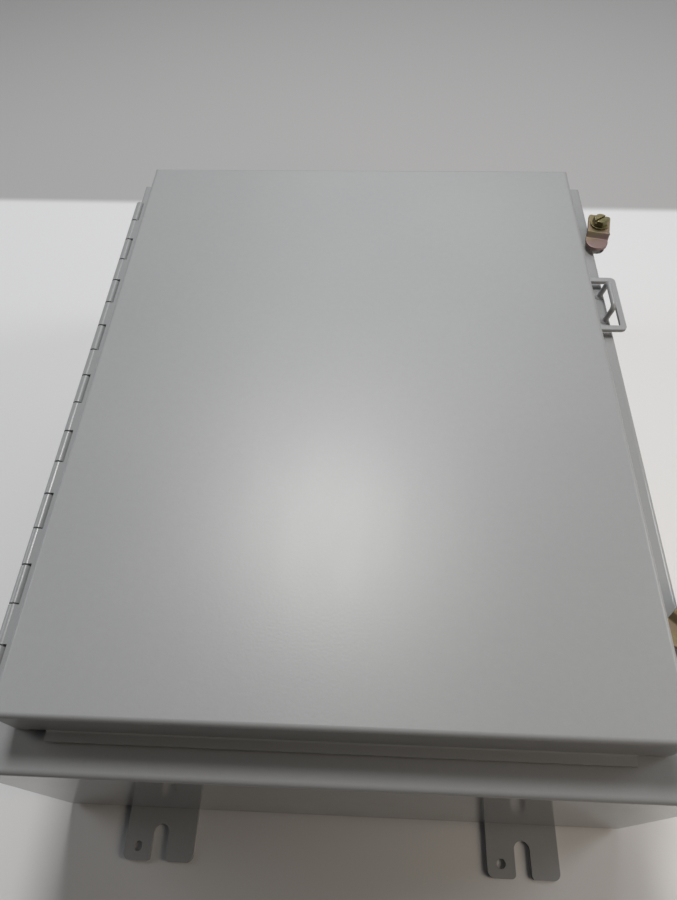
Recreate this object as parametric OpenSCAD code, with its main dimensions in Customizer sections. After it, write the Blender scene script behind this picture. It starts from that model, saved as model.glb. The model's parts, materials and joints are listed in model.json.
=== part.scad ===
// Wall-mount enclosure of folded sheet steel with a hinged lid.
// Origin: middle of the wall-slot pattern on the wall plane, under the feet.
// +X is the latch side, +Y the top of the enclosure, +Z points out of the lid.

/* [Body] */
// Width of the body over its side walls
box_w = 406.4; // [380:0.1:440]
// Height of the body over its end walls
box_h = 508; // [480:1:560]
// Depth of the body from its back to its flange face
body_d = 168; // [150:1:220]
// Thickness of the body and lid sheet
sheet_t = 1.9; // [1.5:0.1:2.5]
// Outside radius of the folds in the body
fold_r = 3.2; // [2.8:0.1:4]
// Distance from the body's outside to the collar round the mouth
collar_inset = 36; // [34:0.5:40]
// Outside radius of the collar's upright corners
collar_corner_r = 14; // [8:0.5:20]

/* [Lid] */
// Step from the body's outside to the lid's skirt, on all four sides
lid_inset = 23; // [20:0.5:26]
// Height of the lid's face above the flange
lid_rise = 34; // [30:0.5:38]
// Outside radius of the folds in the lid
lid_fold_r = 2.8; // [2.6:0.1:3.5]
// Gap between the flange and the skirt's lower edge
skirt_gap = 2; // [1.5:0.1:3]
// How far the lip stands out from the skirt
lip_out = 6; // [5:0.1:8]
// Distance from each corner of the lid to the end of a lip
lip_end = 20; // [15:0.5:30]
// Width of the gasket under the lid
gasket_w = 16; // [12:0.5:18]
// Thickness of the gasket
gasket_t = 8; // [6:0.5:10]

/* [Hinge] */
// Outside diameter of the hinge barrel
barrel_d = 7.2; // [6.6:0.1:8]
// Diameter of the hinge pin
pin_d = 3.6; // [3:0.1:4]
// Thickness of the hinge leaves
leaf_t = 1.5; // [1.2:0.1:1.8]
// Pitch of the knuckles along the barrel
knuckle_pitch = 25.4; // [20:0.1:26]
// Least distance from the hinge to an end of the lid, before it is shifted
hinge_end = 14; // [10:0.5:20]
// Gap between neighbouring knuckles
knuckle_gap = 1.2; // [0.8:0.1:2]
// Offset of the hinge from the middle of the lid
hinge_shift = 4; // [0:0.5:6]

/* [Clamps] */
// Distance from the upper end wall to the upper clamp's screw
clamp_down = 65; // [60:1:100]
// Distance from the lower end wall to the lower clamp's screw
clamp_up = 101; // [60:1:120]
// Distance from a clamp screw's axis to the side wall
clamp_offset = 4.4; // [4.2:0.1:8]
// Width of the clamp plate
clamp_w = 18; // [16:0.5:20]
// Length of the clamp plate behind the screw
clamp_heel = 12; // [11:0.5:14]
// Thickness of the clamp plate and of its bracket
clamp_t = 3; // [2.5:0.1:3.5]
// Height of the joggle between the clamp's heel and toe
clamp_joggle = 4; // [3:0.1:5.5]
// Inside radius of the bend in a clamp's bracket
bracket_bend_r = 1.5; // [1:0.1:2]
// Angle between the side wall and the upper clamp, which is swung off the lip
clamp_rest_upper = 12; // [0:1:20]
// Angle between the side wall and the lower clamp, which is swung just clear of the lip
clamp_rest_lower = 44; // [0:1:44]
// Diameter of a clamp screw
screw_d = 6.35; // [5:0.05:7]
// Length of a clamp screw under its head
screw_l = 35; // [32:1:45]
// Width of a screw head across its flats
screw_af = 11.1; // [10:0.1:12]
// Height of a screw head
screw_head_h = 5; // [4:0.1:6]
// Diameter of a clamp washer
washer_d = 15; // [13:0.5:16]
// Thickness of a clamp washer
washer_t = 1.6; // [1.2:0.1:2]

/* [Padlock hasp] */
// Distance from the upper end wall to the middle of the hasp
hasp_down = 154; // [140:1:240]
// Length of the hasp loop
hasp_l = 57; // [50:1:64]
// Reach of the hasp loop past the side wall
hasp_reach = 8; // [6:0.5:10]
// Width of the hasp strap
hasp_strap_w = 4.5; // [4:0.1:6]
// Thickness of the hasp strap
hasp_strap_t = 3; // [2.5:0.1:4]
// Diameter of the staple rod
staple_d = 4; // [3.5:0.1:4.8]
// Distance between the legs of the staple
staple_l = 26.6; // [22:0.1:30]
// Height of the staple above the flange
staple_h = 18; // [17:0.5:22]
// Outward lean of the staple
staple_lean = 10; // [0:1:15]
// Distance from the side wall to the feet of the staple
staple_inset = 5.2; // [5:0.1:8]

/* [Feet] */
// Distance from a side wall to the middle of a foot
foot_inset = 72.2; // [40:0.1:90]
// Width of a foot
foot_w = 51; // [45:0.5:60]
// How far a foot stands out past the end wall
foot_out = 34; // [32:0.5:40]
// Length of a foot under the back
foot_in = 38; // [30:1:60]
// Thickness of a foot
foot_t = 3; // [2.5:0.1:4]
// Distance from the end wall to the seat of a wall slot
slot_seat = 15.9; // [15:0.1:18]
// Width of a wall slot
slot_w = 11.2; // [9:0.1:13]
// Diameter of the locating hole in a foot
foot_hole_d = 6.4; // [5:0.1:8]
// Distance from the slot to the locating hole
foot_hole_x = 15.5; // [14:0.1:17]
// Distance from a foot's outer end to its locating hole
foot_hole_y = 9; // [8:0.1:12]

/* [Inside] */
// Distance from the outside of each wall to the panel studs
panel_stud_inset = 47.6; // [30:0.1:60]
// Diameter of a panel stud
panel_stud_d = 9.5; // [8:0.1:10]
// Diameter of a panel stud's collar
panel_collar_d = 16; // [14:0.5:18]
// Height of a panel stud's collar
panel_collar_h = 12; // [8:0.5:16]
// Length of a panel stud
panel_stud_l = 34; // [25:1:40]
// Diameter of the earth studs
earth_d = 6; // [5:0.1:8]
// Length of the earth studs
earth_l = 22; // [18:1:30]
// Width of an earth nut across its flats
earth_nut_af = 10; // [9:0.1:13]
// Height of an earth nut
earth_nut_h = 5; // [4:0.1:6]
// Distance from the collar to the earth studs
earth_inset = 30; // [20:1:40]

/* [Hidden] */
$fn = 64;
// Running clearance of pins and screws in their bores, on the radius
run = 0.05;
// Clearance between faces that must not touch
face_gap = 0.3;
// Overshoot of cutting shapes
cut = 1;

wall_x = box_w / 2;
wall_y = box_h / 2;
back_z = foot_t;
flange_z = back_z + body_d;
collar_x = wall_x - collar_inset;
collar_y = wall_y - collar_inset;
collar_fold_r = 2;

lid_x = wall_x - lid_inset;
lid_y = wall_y - lid_inset;
lid_z = flange_z + lid_rise;
lid_under_z = lid_z - sheet_t;
skirt_z = flange_z + skirt_gap;
lip_fold_r = 1.2;
lip_top_z = skirt_z + sheet_t;
gasket_z = lid_under_z - gasket_t;
collar_z = gasket_z - face_gap;
gasket_mid_x = collar_x - sheet_t / 2;
gasket_mid_y = collar_y - sheet_t / 2;

// Height of the barrel above the flange, so that the lid's knuckles turn clear of it
barrel_lift = 0.4;
// Distance that a hinge leaf keeps from the collar, or reaches past the skirt
leaf_margin = 4;
barrel_r = barrel_d / 2;
hinge_x = barrel_r - wall_x;
hinge_z = flange_z + barrel_lift + barrel_r;
// An odd number of knuckles, so that both end ones are on the body
knuckle_fit = floor(2 * (lid_y - hinge_end) / knuckle_pitch);
knuckle_count = knuckle_fit - (knuckle_fit + 1) % 2;
hinge_l = knuckle_count * knuckle_pitch - knuckle_gap;
// Depth of the lid leaf's top below the crest of the barrel
leaf_sink = 0.3;
lid_leaf_z = hinge_z + barrel_r - leaf_sink - leaf_t;
body_leaf_end = -(collar_x + collar_fold_r + leaf_margin);
lid_leaf_end = -(lid_x - sheet_t - leaf_margin);

clamp_x = wall_x + clamp_offset;
clamp_y_upper = wall_y - clamp_down;
clamp_y_lower = clamp_up - wall_y;
toe_z = lip_top_z + face_gap;
heel_z = toe_z + clamp_joggle;
clamp_top_z = heel_z + clamp_t;
// Gap between the skirt and the toe of a clamp that is swung onto the lip
toe_gap = 1.5;
clamp_reach = clamp_x - lid_x - toe_gap;
// Bracket: its width, its shelf's depth below the flange, and the screw's room in front of its heel rest
shelf_w = 18;
shelf_drop = 13;
screw_room = 2.5;
shelf_z = flange_z - shelf_drop;
shelf_end = clamp_x + screw_d / 2 + screw_room + clamp_t;
// Length of the joggle, its bends' shift from face to face, and its start, just past the bracket
joggle_run = 3;
joggle_shift = clamp_t * tan(atan2(clamp_joggle, joggle_run) / 2);
joggle_start = shelf_w / 2 + joggle_shift + face_gap;
head_z = clamp_top_z + washer_t;

hasp_y = wall_y - hasp_down;
hasp_end = wall_x + hasp_reach;
hasp_z = lip_top_z;
staple_x = wall_x - staple_inset;
staple_bend_r = staple_d;

foot_x = wall_x - foot_inset;
inside_z = back_z + sheet_t;
panel_stud_x = wall_x - panel_stud_inset;
panel_stud_y = wall_y - panel_stud_inset;
earth_x = -(collar_x - earth_inset);
earth_y = -(collar_y - earth_inset);

steel_grey = [0.56, 0.58, 0.59];
rubber_black = [0.10, 0.10, 0.10];
zinc_yellow = [0.70, 0.62, 0.40];
bare_steel = [0.70, 0.70, 0.70];

// Rectangle with round corners, centred
module rounded_rect(w, h, r) {
    square([w - 2 * r, h], center = true);
    square([w, h - 2 * r], center = true);
    for (sx = [-1, 1], sy = [-1, 1])
        translate([sx * (w / 2 - r), sy * (h / 2 - r)])
            circle(r);
}

// Block with all its edges round, standing on z = 0
module rounded_block(w, h, d, r) {
    intersection() {
        linear_extrude(d)
            rounded_rect(w, h, r);
        translate([0, 0, d / 2])
            rotate([90, 0, 0])
                linear_extrude(h + 2 * cut, center = true)
                    rounded_rect(w, d, r);
        translate([0, 0, d / 2])
            rotate([90, 0, 90])
                linear_extrude(w + 2 * cut, center = true)
                    rounded_rect(h, d, r);
    }
}

// Block with round upright and top edges and a plain lower end
module topped_block(w, h, bottom_z, top_z, r) {
    intersection() {
        translate([0, 0, bottom_z - 2 * r])
            rounded_block(w, h, top_z - bottom_z + 2 * r, r);
        translate([0, 0, (bottom_z + top_z) / 2])
            cube([w + 2 * cut, h + 2 * cut, top_z - bottom_z], center = true);
    }
}

// Filling of an inside corner, in the corner at the origin
module cove(r) {
    difference() {
        square(r);
        translate([r, r])
            circle(r);
    }
}

// Part of a ring, between two angles up to a right angle apart
module ring_sector(inner_r, outer_r, from, to) {
    far = 2 * outer_r;
    intersection() {
        difference() {
            circle(outer_r);
            circle(inner_r);
        }
        polygon([[0, 0], far * [cos(from), sin(from)], far * [cos(to), sin(to)]]);
    }
}

// Cove that runs round the outside of a rectangle with round corners
module cove_ring(half_x, half_y, corner_r, r) {
    for (side = [-1, 1]) {
        translate([side * half_x, 0, 0])
            rotate([90, 0, side > 0 ? 0 : 180])
                linear_extrude(2 * (half_y - corner_r), center = true)
                    cove(r);
        translate([0, side * half_y, 0])
            rotate([90, 0, side * 90])
                linear_extrude(2 * (half_x - corner_r), center = true)
                    cove(r);
    }
    for (quarter = [0:3]) {
        sx = (quarter == 0 || quarter == 3) ? 1 : -1;
        sy = quarter < 2 ? 1 : -1;
        translate([sx * (half_x - corner_r), sy * (half_y - corner_r), 0])
            rotate([0, 0, quarter * 90])
                rotate_extrude(angle = 90)
                    translate([corner_r, 0])
                        cove(r);
    }
}

// Body: one folded and welded sheet box with a flange and an upright collar
module box_body() {
    inner_r = fold_r - sheet_t;
    mouth_r = collar_corner_r - sheet_t;
    color(steel_grey)
        difference() {
            union() {
                translate([0, 0, back_z])
                    rounded_block(box_w, box_h, body_d, fold_r);
                translate([0, 0, flange_z - sheet_t])
                    linear_extrude(collar_z - flange_z + sheet_t)
                        rounded_rect(2 * collar_x, 2 * collar_y, collar_corner_r);
                translate([0, 0, flange_z])
                    cove_ring(collar_x, collar_y, collar_corner_r, collar_fold_r);
            }
            translate([0, 0, inside_z])
                rounded_block(box_w - 2 * sheet_t, box_h - 2 * sheet_t, body_d - 2 * sheet_t, inner_r);
            translate([0, 0, inside_z + fold_r])
                linear_extrude(collar_z - inside_z)
                    rounded_rect(2 * (collar_x - sheet_t), 2 * (collar_y - sheet_t), mouth_r);
            translate([0, 0, flange_z - sheet_t])
                cove_ring(collar_x - sheet_t, collar_y - sheet_t, mouth_r, collar_fold_r + sheet_t);
        }
}

// Wall foot of the lower end, with an open slot and a locating hole, slot axis at x = 0
module foot() {
    corner_r = 5;
    mouth_r = 3;
    color(steel_grey)
        translate([0, -wall_y, 0])
            linear_extrude(foot_t)
                difference() {
                    translate([0, (foot_in - foot_out) / 2])
                        rounded_rect(foot_w, foot_in + foot_out, corner_r);
                    translate([0, -slot_seat])
                        circle(d = slot_w);
                    translate([-slot_w / 2, -foot_out - cut])
                        square([slot_w, foot_out - slot_seat + cut]);
                    for (side = [0, 1])
                        mirror([side, 0])
                            translate([slot_w / 2, -foot_out])
                                cove(mouth_r);
                    translate([-foot_hole_x, foot_hole_y - foot_out])
                        circle(d = foot_hole_d);
                }
}

module foot_bottom_left() {
    translate([-foot_x, 0, 0])
        foot();
}

module foot_bottom_right() {
    translate([foot_x, 0, 0])
        foot();
}

module foot_top_left() {
    rotate([0, 0, 180])
        foot_bottom_right();
}

module foot_top_right() {
    rotate([0, 0, 180])
        foot_bottom_left();
}

// Middle of one knuckle, counted from the lower end
function knuckle_y(index) = hinge_shift + (index - (knuckle_count - 1) / 2) * knuckle_pitch;

// Every second knuckle of the barrel, from the given one on
module knuckles(first) {
    for (index = [first:2:knuckle_count - 1])
        translate([hinge_x, knuckle_y(index), hinge_z])
            rotate([90, 0, 0])
                cylinder(h = knuckle_pitch - knuckle_gap, d = barrel_d, center = true);
}

// Hinge leaf that starts at the given height, with every second knuckle from the given one on
module hinge_leaf(first, bottom_z, leaf_end) {
    relief = barrel_r + 2 * face_gap;
    color(steel_grey)
        difference() {
            union() {
                translate([hinge_x, hinge_shift - hinge_l / 2, bottom_z])
                    cube([leaf_end - hinge_x, hinge_l, leaf_t]);
                knuckles(first);
            }
            for (index = [1 - first:2:knuckle_count - 1])
                translate([hinge_x, knuckle_y(index), hinge_z])
                    cube([2 * relief, knuckle_pitch + knuckle_gap, barrel_d + 2 * cut], center = true);
            translate([hinge_x, hinge_shift, hinge_z])
                rotate([90, 0, 0])
                    cylinder(h = hinge_l + 2 * cut, d = pin_d + 2 * run, center = true);
        }
}

module hinge_body_leaf() {
    hinge_leaf(0, flange_z, body_leaf_end);
}

module hinge_lid_leaf() {
    hinge_leaf(1, lid_leaf_z, lid_leaf_end);
}

module hinge_pin() {
    color(bare_steel)
        translate([hinge_x, hinge_shift, hinge_z])
            rotate([90, 0, 0])
                cylinder(h = hinge_l, d = pin_d, center = true);
}

// Straight lip with its fold, along Y at the +X skirt of a lid of the given half width
module lip(half_w, length) {
    translate([half_w, 0, skirt_z])
        rotate([90, 0, 0])
            linear_extrude(length, center = true) {
                translate([-sheet_t / 2, 0])
                    square([lip_out + sheet_t / 2, sheet_t]);
                translate([0, sheet_t])
                    cove(lip_fold_r);
            }
}

// Lid: one folded sheet tray with lips on three sides and a relief for the hinge leaf
module lid() {
    color(steel_grey)
        difference() {
            union() {
                topped_block(2 * lid_x, 2 * lid_y, skirt_z, lid_z, lid_fold_r);
                lip(lid_x, 2 * (lid_y - lip_end));
                for (turn = [90, 270])
                    rotate([0, 0, turn])
                        lip(lid_y, 2 * (lid_x - lip_end));
            }
            topped_block(
                2 * (lid_x - sheet_t), 2 * (lid_y - sheet_t),
                skirt_z - cut, lid_under_z, lid_fold_r - sheet_t
            );
            translate([-lid_x - cut, hinge_shift - hinge_l / 2, skirt_z - cut])
                cube([sheet_t + 2 * cut, hinge_l, lid_leaf_z + leaf_t - skirt_z + cut]);
        }
}

// Foamed strip gasket, pressed by the collar's edge
module lid_gasket() {
    outer_corner_r = 3;
    color(rubber_black)
        translate([0, 0, gasket_z])
            linear_extrude(gasket_t)
                difference() {
                    rounded_rect(2 * gasket_mid_x + gasket_w, 2 * gasket_mid_y + gasket_w, outer_corner_r);
                    square([2 * gasket_mid_x - gasket_w, 2 * gasket_mid_y - gasket_w], center = true);
                }
}

// Strap loop on the lid's lip, which drops over the staple
module lid_hasp() {
    start = lid_x + lip_fold_r + face_gap;
    outer_w = 2 * (hasp_end - lid_x);
    outer_corner_r = 4;
    inner_corner_r = 1.5;
    color(steel_grey)
        translate([0, hasp_y, hasp_z])
            linear_extrude(hasp_strap_t)
                intersection() {
                    difference() {
                        translate([lid_x, 0])
                            rounded_rect(outer_w, hasp_l, outer_corner_r);
                        translate([lid_x, 0])
                            rounded_rect(outer_w - 2 * hasp_strap_w, hasp_l - 2 * hasp_strap_w, inner_corner_r);
                    }
                    translate([start, -hasp_l])
                        square(2 * hasp_l);
                }
}

// Rod staple on the flange, for the padlock, with its legs cut level with the flange
module hasp_staple() {
    half_l = staple_l / 2;
    top = staple_h / cos(staple_lean) - staple_d / 2;
    sunk = staple_d;
    color(steel_grey)
        translate([staple_x, hasp_y, flange_z])
            difference() {
                rotate([0, staple_lean, 0]) {
                    for (side = [-1, 1]) {
                        translate([0, side * half_l, -sunk])
                            cylinder(h = top - staple_bend_r + sunk, d = staple_d);
                        translate([0, side * (half_l - staple_bend_r), top - staple_bend_r])
                            rotate([90, 0, side * 90])
                                rotate_extrude(angle = 90)
                                    translate([staple_bend_r, 0])
                                        circle(d = staple_d);
                    }
                    translate([0, 0, top])
                        rotate([90, 0, 0])
                            cylinder(h = staple_l - 2 * staple_bend_r, d = staple_d, center = true);
                }
                translate([0, 0, -2 * sunk])
                    cube([4 * sunk, 2 * staple_l, 4 * sunk], center = true);
            }
}

// Bracket on the side wall: a shelf with the screw's thread and an upright heel rest
module clamp_bracket(y) {
    depth = shelf_end - wall_x;
    height = heel_z - shelf_z;
    bend = clamp_t + bracket_bend_r;
    color(steel_grey)
        difference() {
            translate([wall_x, y, shelf_z])
                rotate([90, 0, 0])
                    linear_extrude(shelf_w, center = true) {
                        square([depth - bend, clamp_t]);
                        translate([depth - clamp_t, bend])
                            square([clamp_t, height - bend]);
                        translate([depth - bend, bend])
                            ring_sector(bracket_bend_r, bend, 270, 360);
                    }
            translate([clamp_x, y, shelf_z - cut])
                cylinder(h = clamp_t + 2 * cut, d = screw_d + 2 * run);
        }
}

module upper_clamp_bracket() {
    clamp_bracket(clamp_y_upper);
}

module lower_clamp_bracket() {
    clamp_bracket(clamp_y_lower);
}

// Side view of the clamp plate, with its toe towards -X
module clamp_profile() {
    polygon([
        [clamp_heel, heel_z], [clamp_heel, clamp_top_z],
        [-joggle_start, clamp_top_z], [-joggle_start - joggle_run, toe_z + clamp_t],
        [-clamp_reach, toe_z + clamp_t], [-clamp_reach, toe_z],
        [joggle_shift - joggle_start - joggle_run, toe_z], [joggle_shift - joggle_start, heel_z]
    ]);
}

// Outline of the clamp plate from above, with a round toe towards -Y
module clamp_outline() {
    half_w = clamp_w / 2;
    heel_corner_r = 2;
    translate([0, half_w - clamp_reach])
        circle(half_w);
    translate([-half_w, half_w - clamp_reach])
        square([clamp_w, clamp_reach - half_w]);
    translate([0, clamp_heel - half_w])
        rounded_rect(clamp_w, clamp_w, heel_corner_r);
}

// Joggled clamp plate, swung off the lid's lip
module clamp(y, rest_angle) {
    color(zinc_yellow)
        translate([clamp_x, y, 0])
            rotate([0, 0, -rest_angle])
                difference() {
                    intersection() {
                        rotate([90, 0, 90])
                            linear_extrude(clamp_w + 2 * cut, center = true)
                                clamp_profile();
                        translate([0, 0, toe_z - cut])
                            linear_extrude(clamp_top_z - toe_z + 2 * cut)
                                clamp_outline();
                    }
                    translate([0, 0, toe_z])
                        cylinder(h = clamp_top_z, d = screw_d + 2 * run);
                }
}

module upper_clamp() {
    clamp(clamp_y_upper, clamp_rest_upper);
}

module lower_clamp() {
    clamp(clamp_y_lower, clamp_rest_lower);
}

module clamp_washer(y) {
    color(zinc_yellow)
        translate([clamp_x, y, clamp_top_z])
            difference() {
                cylinder(h = washer_t, d = washer_d);
                translate([0, 0, -cut])
                    cylinder(h = washer_t + 2 * cut, d = screw_d + 2 * run);
            }
}

module upper_clamp_washer() {
    clamp_washer(clamp_y_upper);
}

module lower_clamp_washer() {
    clamp_washer(clamp_y_lower);
}

// Hexagon prism with its upper corners turned off, standing on z = 0
module hexagon_head(af, h) {
    corner_r = af / 2 / cos(30);
    turned_r = 0.95 * af / 2;
    chamfer_h = (corner_r - turned_r) * tan(30);
    intersection() {
        cylinder(h = h, r = corner_r, $fn = 6);
        rotate_extrude()
            polygon([[0, 0], [corner_r, 0], [corner_r, h - chamfer_h], [turned_r, h], [0, h]]);
    }
}

// Hexagon-head screw with a driver slot
module clamp_screw(y) {
    slot_t = 1.8;
    slot_depth = 2.2;
    slot_angle = 35;
    color(zinc_yellow)
        translate([clamp_x, y, head_z])
            rotate([0, 0, slot_angle])
                difference() {
                    union() {
                        translate([0, 0, -screw_l])
                            cylinder(h = screw_l + screw_head_h / 2, d = screw_d);
                        hexagon_head(screw_af, screw_head_h);
                    }
                    translate([0, 0, screw_head_h])
                        cube([2 * screw_af, slot_t, 2 * slot_depth], center = true);
                }
}

module upper_clamp_screw() {
    clamp_screw(clamp_y_upper);
}

module lower_clamp_screw() {
    clamp_screw(clamp_y_lower);
}

// Four welded studs on the back, for an inner panel
module panel_studs() {
    color(bare_steel)
        for (sx = [-1, 1], sy = [-1, 1])
            translate([sx * panel_stud_x, sy * panel_stud_y, inside_z]) {
                cylinder(h = panel_collar_h, d = panel_collar_d);
                cylinder(h = panel_stud_l, d = panel_stud_d);
            }
}

// Earth stud that stands up from z = 0
module earth_stud() {
    color(bare_steel)
        cylinder(h = earth_l, d = earth_d);
}

// Earth nut on a stud, with its washer face down at z = 0
module earth_nut() {
    color(bare_steel)
        difference() {
            hexagon_head(earth_nut_af, earth_nut_h);
            translate([0, 0, -cut])
                cylinder(h = earth_nut_h + 2 * cut, d = earth_d + 2 * run);
        }
}

module body_earth_stud() {
    translate([earth_x, earth_y, inside_z])
        earth_stud();
}

module body_earth_nut() {
    translate([earth_x, earth_y, inside_z])
        earth_nut();
}

module lid_earth_stud() {
    translate([earth_x, earth_y, lid_under_z])
        mirror([0, 0, 1])
            earth_stud();
}

module lid_earth_nut() {
    translate([earth_x, earth_y, lid_under_z])
        mirror([0, 0, 1])
            earth_nut();
}

box_body();
foot_bottom_left();
foot_bottom_right();
foot_top_left();
foot_top_right();
hinge_body_leaf();
hinge_lid_leaf();
hinge_pin();
lid();
lid_gasket();
lid_hasp();
hasp_staple();
upper_clamp_bracket();
lower_clamp_bracket();
upper_clamp();
lower_clamp();
upper_clamp_washer();
lower_clamp_washer();
upper_clamp_screw();
lower_clamp_screw();
panel_studs();
body_earth_stud();
body_earth_nut();
lid_earth_stud();
lid_earth_nut();
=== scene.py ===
import json
import math

import bmesh
import bpy
from mathutils import Matrix, Vector


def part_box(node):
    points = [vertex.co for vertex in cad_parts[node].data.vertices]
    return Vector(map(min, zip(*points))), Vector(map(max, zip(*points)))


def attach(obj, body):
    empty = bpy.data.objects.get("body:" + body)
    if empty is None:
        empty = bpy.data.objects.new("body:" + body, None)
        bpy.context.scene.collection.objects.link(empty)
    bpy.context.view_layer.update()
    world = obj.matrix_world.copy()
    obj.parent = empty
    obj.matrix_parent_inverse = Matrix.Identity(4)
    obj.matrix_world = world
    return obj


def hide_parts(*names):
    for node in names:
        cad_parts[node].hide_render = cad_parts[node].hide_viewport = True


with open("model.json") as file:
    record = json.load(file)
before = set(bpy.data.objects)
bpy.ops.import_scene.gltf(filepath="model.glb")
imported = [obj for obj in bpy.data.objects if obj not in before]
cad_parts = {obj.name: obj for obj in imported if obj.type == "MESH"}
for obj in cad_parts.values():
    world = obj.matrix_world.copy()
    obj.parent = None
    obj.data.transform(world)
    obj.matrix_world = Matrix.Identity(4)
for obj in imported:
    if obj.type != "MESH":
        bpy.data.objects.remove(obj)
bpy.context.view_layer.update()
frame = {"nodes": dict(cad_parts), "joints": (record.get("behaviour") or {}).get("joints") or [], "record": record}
nodes = frame["nodes"]
joints = {joint["name"]: joint for joint in frame["joints"]}
scene = bpy.context.scene
scene.view_settings.view_transform = "Standard"

# Pieces are modelled in millimetres and scaled to metres when they are finished.
MM = 0.001
X, Y, Z = range(3)
UPRIGHT = (0.0, 0.0, 1.0)


def millimetres(value):
    """A length in metres as millimetres, to a thousandth."""
    return round(value / MM, 3)


def span(node, axis):
    """Lowest and highest place of a solid along one axis."""
    return [millimetres(corner[axis]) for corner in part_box(node)]


def middle_of(node, axis):
    return sum(span(node, axis)) / 2


def size_of(node, axis):
    low, high = span(node, axis)
    return high - low


def pivot(joint, axis):
    """Place of a hinge's axis."""
    return millimetres(joints[joint]["pos_m"][axis])


# Box and lid
WALL_X = span("box_body", X)[1]
WALL_Y = span("box_body", Y)[1]
BACK_Z = span("box_body", Z)[0]
INSIDE_Z = span("panel_studs", Z)[0]
FLANGE_Z = span("hasp_staple", Z)[0]
LID_X = -span("lid", X)[0]
LID_TOP_Z = span("lid", Z)[1]
LID_UNDER_Z = span("lid_gasket", Z)[1]
LIP_TOP_Z = span("lid_hasp", Z)[0]

# Clamp plates. Lengths along a plate start at its screw, and the toe is the end that grips the lid.
CLAMP_TAGS = ("upper", "lower")
CLAMP_X = pivot("upper_clamp_swing", X)
CLAMP_YS = {tag: pivot(tag + "_clamp_swing", Y) for tag in CLAMP_TAGS}
# How far each plate is turned from its outer limit, where it lies along the wall.
CLAMP_TURNS = {tag: -math.radians(joints[tag + "_clamp_swing"]["range_deg"][1]) for tag in CLAMP_TAGS}
# How far each plate's colour goes from gold to pink at the toe.
CLAMP_PINKS = {"upper": 1.0, "lower": 0.2}
CLAMP_W = 18.0
CLAMP_HEEL = 12.0
CLAMP_REACH = 25.9
CLAMP_T = 3.0
JOGGLE_FROM = 9.9
JOGGLE_TO = 14.1
TOE_Z = span("lower_clamp", Z)[0]
HEEL_Z = span("lower_clamp", Z)[1] - CLAMP_T
# Name of the values that grow along a clamp plate, from 0 at the heel.
TOE_SHARE = "toe_share"

# Clamp screws and the shelves of their brackets
SCREW_D = 6.35
SCREW_PITCH = 1.27
SCREW_PLAY = 0.05
HEAD_Z = span("lower_clamp_washer", Z)[1]
SCREW_L = HEAD_Z - span("lower_clamp_screw", Z)[0]
SHELF_W = size_of("lower_clamp_bracket", Y)
SHELF_Z = span("lower_clamp_bracket", Z)[0]
SHELF_T = CLAMP_T

# Hasp strap and the rod staple in it
HASP_Y = middle_of("lid_hasp", Y)
HASP_L = size_of("lid_hasp", Y)
HASP_STRAP_W = 4.5
STAPLE_X = 198.0
STAPLE_D = 4.0
STAPLE_L = size_of("hasp_staple", Y) - STAPLE_D

# Feet
FOOT_X = middle_of("foot_top_right", X)
FOOT_W = size_of("foot_top_right", X)
FOOT_IN = WALL_Y - span("foot_top_right", Y)[0]

# Hinge
HINGE_X = pivot("lid_hinge", X)
HINGE_Z = pivot("lid_hinge", Z)
HINGE_ENDS = span("hinge_pin", Y)
PIN_HEAD_SUNK = 0.2

# Gasket: the middle lines of its strips and their section
GASKET_W = 16.0
GASKET_T = size_of("lid_gasket", Z)
GASKET_X = span("lid_gasket", X)[1] - GASKET_W / 2
GASKET_Y = span("lid_gasket", Y)[1] - GASKET_W / 2

# Panel studs and earth studs
STUD_X = 155.6
STUD_Y = 206.4
STUD_D = 9.5
STUD_PITCH = 1.5
STUD_TOP_Z = span("panel_studs", Z)[1]
COLLAR_R = 8.0
COLLAR_H = 12.0
EARTH_X = middle_of("body_earth_nut", X)
EARTH_Y = middle_of("body_earth_nut", Y)
EARTH_D = 6.0
EARTH_PITCH = 1.0
EARTH_L = size_of("body_earth_stud", Z)

# The photograph's viewpoint, in metres, with the directions that are right and up in its picture
CAMERA_PLACE = Vector((0.01336, -0.2946, 0.5664))
CAMERA_RIGHT = Vector((0.998798, 0.043121, -0.023298))
CAMERA_UP = Vector((-0.023638, 0.840220, 0.541709))
CAMERA_SENSOR = 36.0
CAMERA_LENS = 26.83


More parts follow.
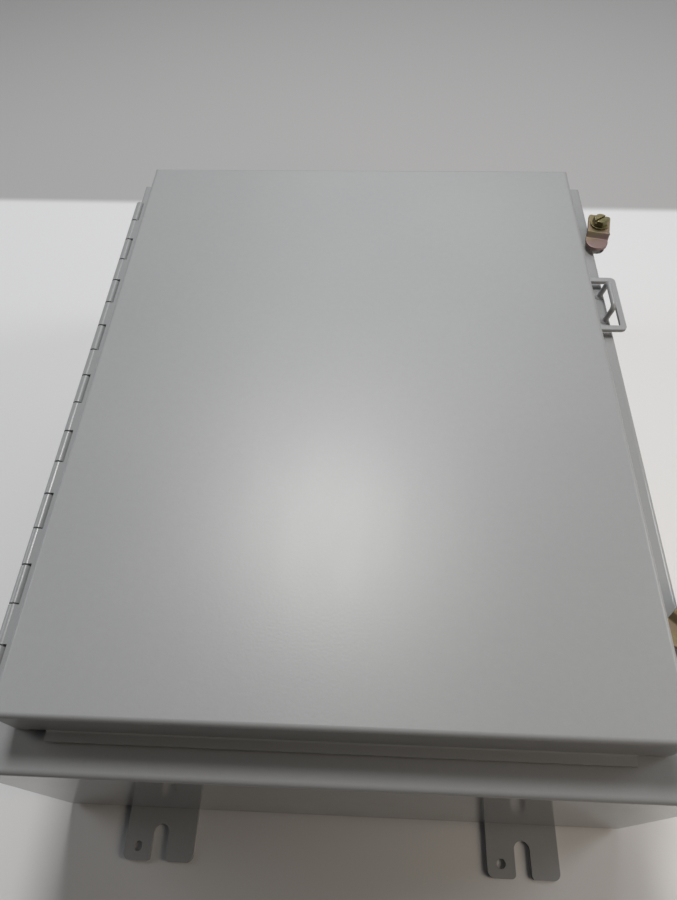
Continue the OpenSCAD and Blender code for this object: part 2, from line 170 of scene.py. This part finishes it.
class Shade:
    """A socket of a material's nodes. Sums, differences and products of it add Math nodes."""

    def __init__(self, tree, socket=None):
        self.tree = tree
        self.socket = socket

    def node(self, kind, settings=None, inputs=None, output=0):
        """Adds a node, sets its settings and then its inputs, and gives one of its outputs."""
        made = self.tree.nodes.new(kind)
        for name, value in (settings or {}).items():
            if name == "stops":
                ramp = made.color_ramp.elements
                while len(ramp) < len(value):
                    ramp.new(1.0)
                for stop, (place, colour) in zip(ramp, value):
                    stop.position = place
                    stop.color = colour
            else:
                setattr(made, name, value)
        for name, value in (inputs or {}).items():
            if isinstance(value, Shade):
                self.tree.links.new(value.socket, made.inputs[name])
            else:
                made.inputs[name].default_value = value
        return Shade(self.tree, made.outputs[output])

    def beside(self, output):
        """Another output of the node that this socket is on."""
        return Shade(self.tree, self.socket.node.outputs[output])

    def maths(self, operation, *values, clamp=False):
        settings = {"operation": operation, "use_clamp": clamp}
        return self.node("ShaderNodeMath", settings, dict(enumerate(values)))

    def __add__(self, other):
        return self.maths("ADD", self, other)

    __radd__ = __add__

    def __sub__(self, other):
        return self.maths("SUBTRACT", self, other)

    def __rsub__(self, other):
        return self.maths("SUBTRACT", other, self)

    def __mul__(self, other):
        return self.maths("MULTIPLY", self, other)

    __rmul__ = __mul__

    def __abs__(self):
        return self.maths("ABSOLUTE", self)

    def step(self, low, high):
        """0 below low, 1 above high, and smooth between them."""
        return self.node(
            "ShaderNodeMapRange",
            {"interpolation_type": "SMOOTHSTEP"},
            {"Value": self, "From Min": low, "From Max": high},
        )

    def mix(self, first, second):
        """A colour from first, where this value is 0, to second, where it is 1."""
        return self.node("ShaderNodeMix", {"data_type": "RGBA"}, {0: self, 6: first, 7: second}, 2)


def new_finish(name):
    """An empty material, with its surface shader and its Object coordinates."""
    material = bpy.data.materials.new(name)
    material.use_nodes = True
    tree = material.node_tree
    shader = tree.nodes["Principled BSDF"]
    place = Shade(tree).node("ShaderNodeTexCoord", output="Object")
    return material, shader, place


def along(place, axis):
    """One of the three coordinates, in metres."""
    return place.node("ShaderNodeSeparateXYZ", inputs={0: place}, output=axis)


def noise(place, scale, detail=2.0, roughness=0.5):
    """Cloudy values round 0.5."""
    return place.node(
        "ShaderNodeTexNoise",
        inputs={"Vector": place, "Scale": scale, "Detail": detail, "Roughness": roughness},
    )


def stretched(place, across, lengthways, up):
    """Object coordinates scaled by three numbers, for marks that run one way."""
    return place.node("ShaderNodeMapping", inputs={"Vector": place, "Scale": (across, lengthways, up)})


def bump(height, strength, distance):
    """Normals for fine relief that is at most a distance deep, in metres."""
    inputs = {"Height": height, "Strength": strength, "Distance": distance}
    return height.node("ShaderNodeBump", inputs=inputs)


def feed(shader, **values):
    """Links or sets the shader's sockets by name."""
    for name, value in values.items():
        socket = shader.inputs[name.replace("_", " ")]
        if isinstance(value, Shade):
            value.tree.links.new(value.socket, socket)
        else:
            socket.default_value = value


def grey_paint():
    """Semi-gloss baked paint with a fine orange peel, a slow drift of tone and a little dust.

    It is glossy on the walls and feet, duller from the flange up, and dullest on the lid's top.
    """
    material, shader, place = new_finish("painted_grey")
    drift = noise(place, 7.0, 3.0)
    mottle = noise(place, 240.0, 3.0, 0.6)
    dust = noise(place, 1600.0, 2.0, 0.7).step(0.66, 0.80)
    rub = noise(stretched(place, 40.0, 14.0, 30.0), 1.0, 4.0, 0.55).step(0.35, 0.80)
    scratch = noise(stretched(place, 900.0, 26.0, 300.0), 1.0, 2.0, 0.4).step(0.70, 0.78)
    tone = (drift * 0.6 + mottle * 0.4).step(0.25, 0.75)
    coat = tone.mix((0.272, 0.277, 0.281, 1.0), (0.290, 0.295, 0.298, 1.0))
    dusty = (dust * 0.08).mix(coat, (0.50, 0.49, 0.47, 1.0))
    marked = (scratch * 0.04).mix(dusty, (0.42, 0.42, 0.42, 1.0))
    height = along(place, "Z")
    over_flange = height.step((FLANGE_Z - 0.2) * MM, (FLANGE_Z + 1.2) * MM)
    on_lid = height.step((LID_TOP_Z - 5.0) * MM, (LID_TOP_Z - 2.2) * MM)
    peel = noise(place, 620.0, 2.0, 0.45)
    grit = noise(place, 2600.0, 1.0)
    feed(
        shader,
        Base_Color=marked,
        Roughness=0.13 + over_flange * 0.16 + on_lid * 0.07 + rub * 0.012 + dust * 0.08 + mottle * 0.015,
        Normal=bump(peel * 0.85 + grit * 0.15, 0.08, 0.0004),
        Specular_IOR_Level=0.45,
    )
    return material


def yellow_zinc():
    """Zinc plating with a yellow passivation, which shifts from olive and gold to pink at a clamp's toe."""
    material, shader, place = new_finish("yellow_zinc")
    cloud = noise(place, 70.0, 3.0, 0.55)
    fine = noise(place, 900.0, 3.0, 0.6)
    toe = place.node("ShaderNodeAttribute", {"attribute_name": TOE_SHARE}, output="Fac")
    olive_to_pink = [
        (0.24, (0.125, 0.115, 0.050, 1.0)),
        (0.36, (0.195, 0.165, 0.080, 1.0)),
        (0.47, (0.225, 0.175, 0.105, 1.0)),
        (0.60, (0.205, 0.140, 0.128, 1.0)),
        (0.74, (0.190, 0.128, 0.136, 1.0)),
    ]
    thickness = cloud * 0.60 + fine * 0.10 + toe * 0.30
    film = place.node("ShaderNodeValToRGB", {"stops": olive_to_pink}, {0: thickness})
    dull = fine.step(0.35, 0.75)
    feed(
        shader,
        Base_Color=(dull * 0.25).mix(film, (0.22, 0.195, 0.15, 1.0)),
        Metallic=0.92,
        Roughness=0.30 + dull * 0.14 + cloud * 0.08,
        Normal=bump(fine, 0.12, 0.0002),
    )
    return material


def plain_steel():
    """Bright zinc plating, a little brushed, with dull patches."""
    material, shader, place = new_finish("plain_steel")
    patch = noise(place, 120.0, 3.0, 0.6)
    brush = noise(stretched(place, 300.0, 300.0, 2600.0), 1.0, 3.0, 0.6)
    colour = patch.step(0.30, 0.72).mix((0.50, 0.51, 0.53, 1.0), (0.66, 0.66, 0.65, 1.0))
    feed(
        shader,
        Base_Color=colour,
        Metallic=1.0,
        Roughness=0.28 + patch * 0.16 + brush * 0.06,
        Normal=bump(brush, 0.15, 0.0001),
    )
    return material


def gasket_rubber():
    """Black closed-cell foam: small cells, a chalky bloom and the line that the collar presses."""
    material, shader, place = new_finish("gasket_rubber")
    cells = place.node("ShaderNodeTexVoronoi", inputs={"Vector": place, "Scale": 950.0})
    pores = noise(place, 2200.0, 2.0, 0.6)
    bloom = noise(place, 40.0, 4.0, 0.6).step(0.45, 0.75)
    lines = []
    for axis, line in (("X", GASKET_X * MM), ("Y", GASKET_Y * MM)):
        off = abs(abs(along(place, axis)) - line)
        lines.append(1.0 - off.step(0.0008, 0.0022))
    pressed = place.maths("MAXIMUM", *lines)
    base = (bloom * 0.5).mix((0.022, 0.022, 0.023, 1.0), (0.060, 0.060, 0.060, 1.0))
    feed(
        shader,
        Base_Color=(pressed * 0.6).mix(base, (0.012, 0.012, 0.012, 1.0)),
        Roughness=0.88 - pressed * 0.18,
        Normal=bump(cells * 0.5 + pores * 0.5 - pressed * 1.5, 0.55, 0.0006),
    )
    return material


finishes = {
    "painted_grey": grey_paint(),
    "yellow_zinc": yellow_zinc(),
    "plain_steel": plain_steel(),
    "gasket_rubber": gasket_rubber(),
}


def finish_piece(name, bm, finish, body, replaced=(), sharp=35):
    """Makes a finished bmesh, in millimetres, into an object that rides on its body."""
    bmesh.ops.scale(bm, vec=(MM, MM, MM), verts=bm.verts)
    mesh = bpy.data.meshes.new(name)
    bm.to_mesh(mesh)
    bm.free()
    mesh.polygons.foreach_set("use_smooth", [True] * len(mesh.polygons))
    mesh.set_sharp_from_angle(angle=math.radians(sharp))
    mesh.materials.append(finishes[finish])
    piece = bpy.data.objects.new(name, mesh)
    scene.collection.objects.link(piece)
    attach(piece, body)
    if replaced:
        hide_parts(*replaced)
    return piece


def level_shading(piece):
    """Keeps the shading of flat faces level beside round edges."""
    normals = piece.modifiers.new("normals", "WEIGHTED_NORMAL")
    normals.keep_sharp = True


def close_up(bm):
    """Merges the doubles and turns all the faces outwards."""
    bmesh.ops.remove_doubles(bm, verts=bm.verts, dist=0.001)
    bmesh.ops.recalc_face_normals(bm, faces=bm.faces)


def cut(bm, place, outwards, clear=True):
    """Cuts a mesh along a plane, and clears what lies outside it if asked."""
    bmesh.ops.bisect_plane(
        bm,
        geom=bm.verts[:] + bm.edges[:] + bm.faces[:],
        plane_co=place,
        plane_no=outwards,
        clear_outer=clear,
    )


def fill_holes(bm):
    bmesh.ops.holes_fill(bm, edges=[edge for edge in bm.edges if edge.is_boundary])


def ease_mesh(bm, angle, size, segments):
    """Rounds the edges where faces meet at more than an angle, in radians."""
    rim = [edge for edge in bm.edges if len(edge.link_faces) == 2 and edge.calc_face_angle() > angle]
    bmesh.ops.bevel(
        bm, geom=rim, offset=size, segments=segments, profile=0.5, affect="EDGES", material=-1
    )


def join(target, *others):
    """Moves the meshes of other bmeshes into the target."""
    for other in others:
        part = bpy.data.meshes.new("part")
        other.to_mesh(part)
        other.free()
        target.from_mesh(part)
        bpy.data.meshes.remove(part)


def solid_copy(node):
    """A merged copy of a solid, in millimetres."""
    bm = bmesh.new()
    bm.from_mesh(nodes[node].data)
    bmesh.ops.scale(bm, vec=(1 / MM, 1 / MM, 1 / MM), verts=bm.verts)
    bmesh.ops.remove_doubles(bm, verts=bm.verts, dist=0.001)
    return bm


def outline(bm, points):
    """An open line through the points, as a list of its vertices and edges."""
    verts = [bm.verts.new(point) for point in points]
    return verts + [bm.edges.new(pair) for pair in zip(verts, verts[1:])]


def turned(profile, x, y, steps):
    """A closed shape from a profile of radius and height, spun round an upright axis."""
    bm = bmesh.new()
    bmesh.ops.spin(
        bm,
        geom=outline(bm, [(x + radius, y, height) for radius, height in profile]),
        cent=(x, y, 0.0),
        axis=UPRIGHT,
        angle=2 * math.pi,
        steps=steps,
        use_merge=True,
    )
    close_up(bm)
    return bm


def threaded_rod(x, y, low, high, diameter, pitch, lead):
    """An upright rod with a right-hand thread, and a lead at its low end (-1) or its high end (1)."""
    bm = bmesh.new()
    crest = diameter / 2
    root = crest - 0.60 * pitch
    tip_radius = root - 0.25 * pitch
    steps = 28
    turns = math.ceil((high - low) / pitch) + 2
    start = low - pitch
    shape = ((root, 0.0), (root, 0.12), (crest, 0.43), (crest, 0.57), (root, 0.88), (root, 1.0))
    bmesh.ops.spin(
        bm,
        geom=outline(bm, [(x + radius, y, start + part * pitch) for radius, part in shape]),
        cent=(x, y, 0.0),
        axis=UPRIGHT,
        dvec=(0.0, 0.0, pitch / steps),
        angle=2 * math.pi * turns,
        steps=steps * turns,
    )
    bmesh.ops.remove_doubles(bm, verts=bm.verts, dist=0.001)
    for height, side in ((low, -1), (high, 1)):
        cut(bm, (0.0, 0.0, height), (0.0, 0.0, side))
    fill_holes(bm)
    tip = high if lead > 0 else low
    for vert in bm.verts:
        across = Vector((vert.co.x - x, vert.co.y - y))
        room = tip_radius + abs(vert.co.z - tip)
        if across.length > room:
            across *= room / across.length
            vert.co.x = x + across.x
            vert.co.y = y + across.y
    bmesh.ops.dissolve_degenerate(bm, dist=0.001, edges=bm.edges)
    bmesh.ops.recalc_face_normals(bm, faces=bm.faces)
    return bm


def straight_bead(start, end, radius):
    """A weld bead along a line, with the ripples that the torch leaves and thin ends."""
    start = Vector(start)
    run = Vector(end) - start
    bm = bmesh.new()
    bmesh.ops.create_cone(
        bm, cap_ends=True, segments=10, radius1=radius, radius2=radius, depth=run.length
    )
    ring_gap = 0.55
    ripple_gap = 2.4
    sides = [
        edge for edge in bm.edges if abs(edge.verts[0].co.z - edge.verts[1].co.z) > 0.5 * run.length
    ]
    bmesh.ops.subdivide_edges(bm, edges=sides, cuts=max(6, round(run.length / ring_gap)))
    for vert in bm.verts:
        done = vert.co.z + run.length / 2
        ripple = 1.0 + 0.10 * math.sin(done * 2 * math.pi / ripple_gap) + 0.05 * math.sin(done * 1.7)
        ends = min(1.0, 0.35 + min(done, run.length - done) / (1.2 * radius))
        vert.co.x *= ripple * ends
        vert.co.y *= ripple * ends
    turn = Vector(UPRIGHT).rotation_difference(run).to_matrix().to_4x4()
    bmesh.ops.transform(bm, matrix=Matrix.Translation(start + run / 2) @ turn, verts=bm.verts)
    bmesh.ops.recalc_face_normals(bm, faces=bm.faces)
    return bm


def ring_bead(x, y, z, inner, leg):
    """A weld fillet round an upright rod, with ripples."""
    sunk = 0.1
    inside = inner - 0.2
    profile = [(inside, z - sunk), (inner + leg, z - sunk), (inner + 0.75 * leg, z + 0.30 * leg)]
    profile += [(inner + 0.35 * leg, z + 0.62 * leg), (inside, z + leg), (inside, z - sunk)]
    bm = turned(profile, x, y, 40)
    for vert in bm.verts:
        across = Vector((vert.co.x - x, vert.co.y - y))
        if across.length > inner:
            angle = math.atan2(across.y, across.x)
            across *= 1.0 + 0.035 * math.sin(9 * angle + 0.6)
            vert.co.x = x + across.x
            vert.co.y = y + across.y
    return bm


def clamp_plate(tag, y):
    """Joggled clamp plate with round bends, a round toe and eased edges."""
    bm = bmesh.new()
    half = CLAMP_W / 2
    corners = [(-half, -CLAMP_REACH), (half, -CLAMP_REACH), (half, CLAMP_HEEL), (-half, CLAMP_HEEL)]
    verts = [bm.verts.new((across, lengthways, 0.0)) for across, lengthways in corners]
    bm.faces.new(verts)
    for ends, size, steps in ((verts[:2], half - 0.01, 14), (verts[2:], 2.0, 5)):
        bmesh.ops.bevel(
            bm, geom=ends, offset=size, segments=steps, profile=0.5, affect="VERTICES", material=-1
        )
    bmesh.ops.remove_doubles(bm, verts=bm.verts, dist=0.03)
    bmesh.ops.delete(bm, geom=bm.faces[:], context="FACES_ONLY")
    bmesh.ops.create_circle(bm, segments=32, radius=SCREW_D / 2 + SCREW_PLAY)
    bmesh.ops.triangle_fill(bm, edges=bm.edges[:], use_beauty=True)
    joggle = JOGGLE_TO - JOGGLE_FROM
    cuts = 14
    for number in range(cuts + 1):
        cut(bm, (0.0, -JOGGLE_FROM - joggle * number / cuts, 0.0), (0.0, 1.0, 0.0), clear=False)
    for vert in bm.verts:
        part = min(1.0, max(0.0, (-vert.co.y - JOGGLE_FROM) / joggle))
        drop = part * part * (3 - 2 * part)
        vert.co.z = HEEL_Z + CLAMP_T / 2 - (HEEL_Z - TOE_Z) * drop
    bmesh.ops.recalc_face_normals(bm, faces=bm.faces)
    if sum(face.normal.z for face in bm.faces) < 0:
        bmesh.ops.reverse_faces(bm, faces=bm.faces)
    bmesh.ops.solidify(bm, geom=bm.faces[:], thickness=CLAMP_T)
    top = max(vert.co.z for vert in bm.verts)
    bmesh.ops.translate(bm, vec=(0.0, 0.0, HEEL_Z + CLAMP_T - top), verts=bm.verts)
    bmesh.ops.recalc_face_normals(bm, faces=bm.faces)
    ease_mesh(bm, 1.0, 0.45, 3)
    share = bm.verts.layers.float.new(TOE_SHARE)
    for vert in bm.verts:
        vert[share] = CLAMP_PINKS[tag] * (CLAMP_HEEL - vert.co.y) / (CLAMP_HEEL + CLAMP_REACH)
    place = Matrix.Translation((CLAMP_X, y, 0.0)) @ Matrix.Rotation(CLAMP_TURNS[tag], 4, "Z")
    bmesh.ops.transform(bm, matrix=place, verts=bm.verts)
    name = tag + "_clamp"
    level_shading(finish_piece(name + "_plate", bm, "yellow_zinc", name, [name]))


def clamp_screw(tag, y):
    """Hexagon screw with a cut thread. The head is the solid's own."""
    name = tag + "_clamp_screw"
    bm = solid_copy(name)
    cut(bm, (0.0, 0.0, HEAD_Z + 0.02), (0.0, 0.0, -1.0))
    fill_holes(bm)
    bmesh.ops.dissolve_limit(bm, angle_limit=0.02, verts=bm.verts, edges=bm.edges)
    ease_mesh(bm, 0.4, 0.18, 2)
    join(bm, threaded_rod(CLAMP_X, y, HEAD_Z - SCREW_L, HEAD_Z + 0.5, SCREW_D, SCREW_PITCH, -1))
    level_shading(finish_piece(name + "_threaded", bm, "yellow_zinc", tag + "_screw", [name], 30))


def panel_studs():
    """Four collared studs with a rolled thread, welded to the back."""
    bm = bmesh.new()
    collar_z = INSIDE_Z + COLLAR_H
    profile = [(0.0, INSIDE_Z), (COLLAR_R, INSIDE_Z), (COLLAR_R, collar_z - 1.0)]
    profile += [(COLLAR_R - 0.2, collar_z - 0.4), (COLLAR_R - 0.8, collar_z), (0.0, collar_z)]
    for x in (-STUD_X, STUD_X):
        for y in (-STUD_Y, STUD_Y):
            collar = turned(profile, x, y, 40)
            thread = threaded_rod(x, y, collar_z - 0.5, STUD_TOP_Z, STUD_D, STUD_PITCH, 1)
            join(bm, collar, thread, ring_bead(x, y, INSIDE_Z, COLLAR_R, 2.2))
    finish_piece("panel_studs_threaded", bm, "plain_steel", "body", ["panel_studs"], 30)


def earth_studs():
    """Threaded earth studs on the back and under the lid."""
    for body, low, lead in (("body", INSIDE_Z, 1), ("lid", LID_UNDER_Z - EARTH_L, -1)):
        bm = threaded_rod(EARTH_X, EARTH_Y, low, low + EARTH_L, EARTH_D, EARTH_PITCH, lead)
        name = body + "_earth_stud"
        finish_piece(name + "_threaded", bm, "plain_steel", body, [name], 30)


def foam_strip(length):
    """A strip of foam along Y, under height 0, with round edges and the groove that the collar presses."""
    half = GASKET_W / 2
    edge = [(half, 0.0), (half, -6.6), (half - 0.35, -7.3), (half - 0.9, -7.8), (half - 1.7, -GASKET_T)]
    edge += [(2.6, -GASKET_T), (1.9, -7.85), (1.1, -7.35), (0.4, -7.05)]
    profile = edge + [(-across, height) for across, height in reversed(edge)]
    bm = bmesh.new()
    face = bm.faces.new([bm.verts.new((across, -length / 2, height)) for across, height in profile])
    made = bmesh.ops.extrude_face_region(bm, geom=[face])
    moved = [item for item in made["geom"] if isinstance(item, bmesh.types.BMVert)]
    bmesh.ops.translate(bm, vec=(0.0, length, 0.0), verts=moved)
    runs = [edge for edge in bm.edges if abs(edge.verts[0].co.y - edge.verts[1].co.y) > length / 2]
    bmesh.ops.subdivide_edges(bm, edges=runs, cuts=round(length / 5))
    for vert in bm.verts:
        if vert.co.z < -1.0:
            wave = math.sin(vert.co.y / 8.3) + 0.6 * math.sin(vert.co.y / 3.1 + 1.0)
            vert.co.z += 0.05 * wave + 0.08
            vert.co.x *= 1.0 + 0.006 * math.sin(vert.co.y / 13.0 + 0.4) - 0.008
    bmesh.ops.recalc_face_normals(bm, faces=bm.faces)
    return bm


def lid_gasket():
    """Four strips of foam, butted at the corners, on the underside of the lid."""
    bm = bmesh.new()
    seam = 0.2
    for side in (-1, 1):
        for turn, across, length in (
            (0.0, GASKET_X, 2 * GASKET_Y + GASKET_W),
            (math.pi / 2, GASKET_Y, 2 * GASKET_X - GASKET_W - 2 * seam),
        ):
            strip = foam_strip(length)
            move = Matrix.Translation((side * across, 0.0, LID_UNDER_Z))
            bmesh.ops.transform(strip, matrix=Matrix.Rotation(turn, 4, "Z") @ move, verts=strip.verts)
            join(bm, strip)
    finish_piece("lid_gasket_strips", bm, "gasket_rubber", "lid", ["lid_gasket"], 40)


def body_welds():
    """Welds of the clamp brackets, the staple and the feet."""
    bm = bmesh.new()
    for y in CLAMP_YS.values():
        for height in (SHELF_Z, SHELF_Z + SHELF_T):
            ends = [(WALL_X + 0.2, y + side * (SHELF_W / 2 - 0.6), height) for side in (-1, 1)]
            join(bm, straight_bead(*ends, 1.5))
    for side in (-1, 1):
        join(bm, ring_bead(STAPLE_X, HASP_Y + side * STAPLE_L / 2, FLANGE_Z, STAPLE_D / 2, 1.6))
    for x in (-FOOT_X, FOOT_X):
        for end in (-1, 1):
            for edge in (-1, 1):
                across = x + edge * (FOOT_W / 2 + 0.3)
                run = [(across, end * (WALL_Y - part), BACK_Z - 0.5) for part in (5.0, FOOT_IN - 6.0)]
                join(bm, straight_bead(*run, 1.7))
    finish_piece("body_welds", bm, "painted_grey", "body")


def lid_welds():
    """Welds of the hasp strap on the lid's lip."""
    bm = bmesh.new()
    for end in (-1, 1):
        strap_y = HASP_Y + end * (HASP_L - HASP_STRAP_W) / 2
        for side in (-1, 1):
            y = strap_y + side * (HASP_STRAP_W / 2 + 0.1)
            run = [(LID_X + part, y, LIP_TOP_Z + 0.2) for part in (1.8, 5.8)]
            join(bm, straight_bead(*run, 0.9))
    finish_piece("lid_welds", bm, "painted_grey", "lid")


def pin_heads():
    """Peened ends of the hinge pin."""
    bm = bmesh.new()
    profile = [(0.0, 0.9), (0.8, 0.82), (1.5, 0.55), (1.95, 0.1), (1.9, -0.05), (0.0, -0.05)]
    for side, end in zip((-1, 1), HINGE_ENDS):
        head = turned(profile, 0.0, 0.0, 24)
        turn = Matrix.Rotation(-side * math.pi / 2, 4, "X")
        place = Matrix.Translation((HINGE_X, end - side * PIN_HEAD_SUNK, HINGE_Z))
        bmesh.ops.transform(head, matrix=place @ turn, verts=head.verts)
        join(bm, head)
    finish_piece("hinge_pin_heads", bm, "plain_steel", "body")


def ease_edges(name, width):
    """Rounds the sharp edges of a solid a little, so that they catch the light."""
    weld = nodes[name].modifiers.new("weld", "WELD")
    weld.merge_threshold = 0.002 * MM
    bevel = nodes[name].modifiers.new("bevel", "BEVEL")
    bevel.width = width * MM
    bevel.segments = 2
    bevel.limit_method = "ANGLE"
    bevel.angle_limit = math.radians(40)
    bevel.harden_normals = True


def finish_solids():
    """Gives the solids their finishes, and round edges to the cut and punched ones."""
    slots = {part["node"]: part["material_slot"] for part in frame["record"]["subparts"]}
    for name, node in nodes.items():
        for held in node.material_slots:
            held.material = finishes[slots[name]]
    for name in ("foot_bottom_left", "foot_bottom_right", "foot_top_left", "foot_top_right"):
        ease_edges(name, 0.5)
    for name in ("lid_hasp", "upper_clamp_bracket", "lower_clamp_bracket"):
        ease_edges(name, 0.4)
    for name in ("upper_clamp_washer", "lower_clamp_washer", "body_earth_nut", "lid_earth_nut"):
        ease_edges(name, 0.2)


def seen_itself(tree):
    """1 where a surround is seen, straight or in gloss, and 0 where it only sends light to the object."""
    straight = Shade(tree).node("ShaderNodeLightPath", output="Is Camera Ray")
    glossy = straight.beside("Is Glossy Ray")
    return straight.maths("ADD", straight + glossy, straight.beside("Is Transmission Ray"), clamp=True)


def floor():
    """A pale floor with a darker far part, with painted shade that darkens it further back. It fades into the
    surround.
    """
    bm = bmesh.new()
    bmesh.ops.create_grid(bm, x_segments=1, y_segments=1, size=4.0)
    mesh = bpy.data.meshes.new("floor")
    bm.to_mesh(mesh)
    bm.free()
    material, shader, place = new_finish("pale_floor")
    back = along(place, "Y")
    slant = back.beside("X") * 0.012
    far = (back + slant).step(0.445, 0.459)
    # Painted shade: the far part grows darker further back, like light falling off on a wall behind.
    far_tone_and_shade = back.step(0.4, 1.6).mix((0.385, 0.38, 0.38, 1.0), (0.29, 0.286, 0.286, 1.0))
    tone = far.mix((0.67, 0.67, 0.675, 1.0), far_tone_and_shade)
    away = place.node("ShaderNodeVectorMath", {"operation": "LENGTH"}, {0: place}, "Value")
    feed(
        shader,
        Base_Color=seen_itself(place.tree).mix((0.22, 0.215, 0.20, 1.0), tone),
        Roughness=0.7,
        Specular_IOR_Level=0.2,
        Alpha=1.0 - away.step(1.1, 2.8),
    )
    mesh.materials.append(material)
    made = bpy.data.objects.new("floor", mesh)
    scene.collection.objects.link(made)


def soft_lamp(name, place, aim, size, energy, colour):
    """A round lamp that is turned to a point and isn't seen itself."""
    lamp = bpy.data.lights.new(name, "AREA")
    lamp.shape = "DISK"
    lamp.size = size
    lamp.energy = energy
    lamp.color = colour
    holder = bpy.data.objects.new(name, lamp)
    place = Vector(place)
    turn = (Vector(aim) - place).to_track_quat("-Z", "Y").to_matrix().to_4x4()
    holder.matrix_world = Matrix.Translation(place) @ turn
    holder.visible_camera = False
    scene.collection.objects.link(holder)


def light():
    """Two soft lamps above and behind, weaker ones at the sides and in front, and a plain surround."""
    soft_lamp("main_lamp", (-0.12, 0.70, 1.95), (0.0, 0.0, 0.2), 0.50, 22.2, (1.0, 0.985, 0.97))
    soft_lamp("back_lamp", (0.10, 1.15, 1.45), (0.0, 0.0, 0.2), 1.20, 8.5, (0.97, 0.985, 1.0))
    soft_lamp("right_lamp", (1.60, 0.50, 1.30), (0.0, 0.0, 0.2), 0.80, 9.0, (0.94, 0.97, 1.0))
    soft_lamp("left_lamp", (-1.40, 0.25, 0.90), (0.0, 0.0, 0.1), 0.80, 4.8, (0.94, 0.97, 1.0))
    soft_lamp("front_lamp", (0.75, -0.40, 0.45), (0.0, -0.33, 0.0), 0.45, 2.5, (1.0, 0.87, 0.73))
    world = bpy.data.worlds.new("surround")
    scene.world = world
    world.use_nodes = True
    tree = world.node_tree
    tone = seen_itself(tree).mix((0.02, 0.02, 0.02, 1.0), (0.36, 0.36, 0.36, 1.0))
    feed(tree.nodes["Background"], Color=tone, Strength=1.0)


def camera():
    """A camera at the photograph's viewpoint, with its angle of view."""
    lens = bpy.data.cameras.new("camera")
    lens.sensor_width = CAMERA_SENSOR
    lens.lens = CAMERA_LENS
    lens.clip_start = 0.01
    made = bpy.data.objects.new("camera", lens)
    towards_viewer = CAMERA_RIGHT.cross(CAMERA_UP)
    turn = Matrix((CAMERA_RIGHT, CAMERA_UP, towards_viewer)).transposed().to_4x4()
    made.matrix_world = Matrix.Translation(CAMERA_PLACE) @ turn
    scene.collection.objects.link(made)
    scene.camera = made


for tag, y in CLAMP_YS.items():
    clamp_plate(tag, y)
    clamp_screw(tag, y)
panel_studs()
earth_studs()
lid_gasket()
body_welds()
lid_welds()
pin_heads()
finish_solids()
floor()
light()
camera()
